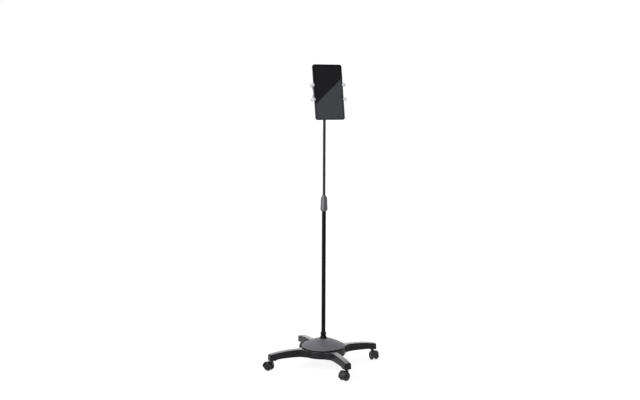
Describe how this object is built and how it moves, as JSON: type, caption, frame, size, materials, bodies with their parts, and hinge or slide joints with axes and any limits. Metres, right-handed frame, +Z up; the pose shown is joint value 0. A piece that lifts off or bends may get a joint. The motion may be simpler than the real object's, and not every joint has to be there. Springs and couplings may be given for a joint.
{
  "type": "adjustable tablet floor stand",
  "caption": "Floor stand for a tablet: domed star base on casters, telescopic mast with a twist-lock collar, and a swivelling, tilting head with sprung grips.",
  "frame": {"origin": "on the floor, on the axis of the mast", "axes": "+Z up along the mast; the screen faces -Y, leaning back; the legs lie along X and Y"},
  "size_m": [0.5765, 0.5882, 1.4116],
  "materials": {
    "base_plastic": "fine-grained moulded nylon, dark grey",
    "dome_plastic": "fine-grained satin moulding, mid grey with a slight violet cast",
    "caster_black": "satin black moulded nylon",
    "wheel_black": "satin black hard plastic tread",
    "plated_steel": "bright zinc plate",
    "black_steel": "gloss black powder coat",
    "socket_black": "gloss black moulding",
    "collar_grey": "semi-gloss dark grey moulding",
    "black_nylon": "black nylon",
    "white_nylon": "natural nylon",
    "head_black": "satin black coat",
    "holder_black": "fine-grained black moulding",
    "pad_rubber": "soft black rubber",
    "satin_silver": "satin silver",
    "sleeve_rubber": "light grey rubber",
    "spring_steel": "drawn wire",
    "tablet_black": "satin black case",
    "tablet_glass": "polished black front glass"
  },
  "bodies": {
    "base": {"base_star": "base_plastic", "caster_sockets": "plated_steel", "caster_stems": "black_steel", "dome_cover": "dome_plastic", "mast_socket": "socket_black", "mast_bolt": "plated_steel", "mast_washer": "plated_steel", "outer_tube": "black_steel", "collar_ferrule": "black_nylon", "collet": "white_nylon"},
    "lock_collar": {"lock_collar": "collar_grey"},
    "upper_mast": {"inner_tube": "black_steel", "glide_bush": "white_nylon", "tube_plug": "head_black", "swivel_screw": "plated_steel"},
    "swivel": {"swivel_fork": "head_black", "tilt_bolt": "plated_steel", "tilt_washers": "white_nylon"},
    "tilt_knob": {"tilt_knob": "holder_black"},
    "tilt_head": {"tilt_lug": "head_black", "spindle_screw": "plated_steel"},
    "holder": {"holder_tray": "holder_black", "holder_cover": "holder_black", "holder_screws": "plated_steel", "holder_pads": "pad_rubber", "spring_left": "spring_steel", "spring_right": "spring_steel"},
    "jaw_left": {"jaw_left": "satin_silver", "grip_posts_left": "satin_silver", "grip_sleeves_left": "sleeve_rubber"},
    "jaw_right": {"jaw_right": "satin_silver", "grip_posts_right": "satin_silver", "grip_sleeves_right": "sleeve_rubber"},
    "tablet": {"tablet_shell": "tablet_black", "tablet_glass": "tablet_glass"},
    "caster_right": {"hood_right": "caster_black", "axle_right": "plated_steel"},
    "wheel_right_a": {"wheel_right_a": "wheel_black"},
    "wheel_right_b": {"wheel_right_b": "wheel_black"},
    "caster_back": {"hood_back": "caster_black", "axle_back": "plated_steel"},
    "wheel_back_a": {"wheel_back_a": "wheel_black"},
    "wheel_back_b": {"wheel_back_b": "wheel_black"},
    "caster_left": {"hood_left": "caster_black", "axle_left": "plated_steel"},
    "wheel_left_a": {"wheel_left_a": "wheel_black"},
    "wheel_left_b": {"wheel_left_b": "wheel_black"},
    "caster_front": {"hood_front": "caster_black", "axle_front": "plated_steel"},
    "wheel_front_a": {"wheel_front_a": "wheel_black"},
    "wheel_front_b": {"wheel_front_b": "wheel_black"}
  },
  "joints": [
    {"name": "collar_twist", "type": "hinge", "parent": "base", "child": "lock_collar", "pos_m": [0, 0, 0.772], "axis": [0, 0, 1], "range_deg": [0, 120]},
    {"name": "mast_height", "type": "slide", "parent": "base", "child": "upper_mast", "axis": [0, 0, 1], "range_m": [-0.37, 0.195]},
    {"name": "head_swivel", "type": "hinge", "parent": "upper_mast", "child": "swivel", "pos_m": [0, 0, 1.256], "axis": [0, 0, 1], "continuous": true},
    {"name": "knob_turn", "type": "hinge", "parent": "swivel", "child": "tilt_knob", "pos_m": [0.02, 0, 1.278], "axis": [1, 0, 0], "range_deg": [-180, 180]},
    {"name": "head_tilt", "type": "hinge", "parent": "swivel", "child": "tilt_head", "pos_m": [0, 0, 1.278], "axis": [-1, 0, 0], "range_deg": [-14, 75]},
    {"name": "holder_turn", "type": "hinge", "parent": "tilt_head", "child": "holder", "pos_m": [0, -0.0197, 1.28147], "axis": [0, -0.9848, 0.1736], "continuous": true},
    {"name": "jaw_left_slide", "type": "slide", "parent": "holder", "child": "jaw_left", "axis": [-1, 0, 0], "range_m": [0, 0.035], "stiffness_N_per_m": 200, "springref_m": -0.04, "deforming": ["spring_left"]},
    {"name": "jaw_right_slide", "type": "slide", "parent": "holder", "child": "jaw_right", "axis": [1, 0, 0], "range_m": [0, 0.035], "stiffness_N_per_m": 200, "springref_m": -0.04, "deforming": ["spring_right"]},
    {"name": "tablet_lift", "type": "slide", "parent": "holder", "child": "tablet", "axis": [0, 0.1736, 0.9848], "range_m": [0, 0.18]},
    {"name": "caster_right_swivel", "type": "hinge", "parent": "base", "child": "caster_right", "pos_m": [0.261, 0, 0.038], "axis": [0, 0, 1], "continuous": true},
    {"name": "wheel_right_a_roll", "type": "hinge", "parent": "caster_right", "child": "wheel_right_a", "pos_m": [0.25988, -0.01596, 0.021], "axis": [0.9976, -0.0698, 0], "continuous": true},
    {"name": "wheel_right_b_roll", "type": "hinge", "parent": "caster_right", "child": "wheel_right_b", "pos_m": [0.25988, -0.01596, 0.021], "axis": [0.9976, -0.0698, 0], "continuous": true},
    {"name": "caster_back_swivel", "type": "hinge", "parent": "base", "child": "caster_back", "pos_m": [0, 0.261, 0.038], "axis": [0, 0, 1], "continuous": true},
    {"name": "wheel_back_a_roll", "type": "hinge", "parent": "caster_back", "child": "wheel_back_a", "pos_m": [0.01438, 0.26801, 0.021], "axis": [-0.4384, 0.8988, 0], "continuous": true},
    {"name": "wheel_back_b_roll", "type": "hinge", "parent": "caster_back", "child": "wheel_back_b", "pos_m": [0.01438, 0.26801, 0.021], "axis": [-0.4384, 0.8988, 0], "continuous": true},
    {"name": "caster_left_swivel", "type": "hinge", "parent": "base", "child": "caster_left", "pos_m": [-0.261, 0, 0.038], "axis": [0, 0, 1], "continuous": true},
    {"name": "wheel_left_a_roll", "type": "hinge", "parent": "caster_left", "child": "wheel_left_a", "pos_m": [-0.27018, 0.01311, 0.021], "axis": [-0.8192, -0.5736, 0], "continuous": true},
    {"name": "wheel_left_b_roll", "type": "hinge", "parent": "caster_left", "child": "wheel_left_b", "pos_m": [-0.27018, 0.01311, 0.021], "axis": [-0.8192, -0.5736, 0], "continuous": true},
    {"name": "caster_front_swivel", "type": "hinge", "parent": "base", "child": "caster_front", "pos_m": [0, -0.261, 0.038], "axis": [0, 0, 1], "continuous": true},
    {"name": "wheel_front_a_roll", "type": "hinge", "parent": "caster_front", "child": "wheel_front_a", "pos_m": [-0.01438, -0.26801, 0.021], "axis": [0.4384, -0.8988, 0], "continuous": true},
    {"name": "wheel_front_b_roll", "type": "hinge", "parent": "caster_front", "child": "wheel_front_b", "pos_m": [-0.01438, -0.26801, 0.021], "axis": [0.4384, -0.8988, 0], "continuous": true}
  ]
}
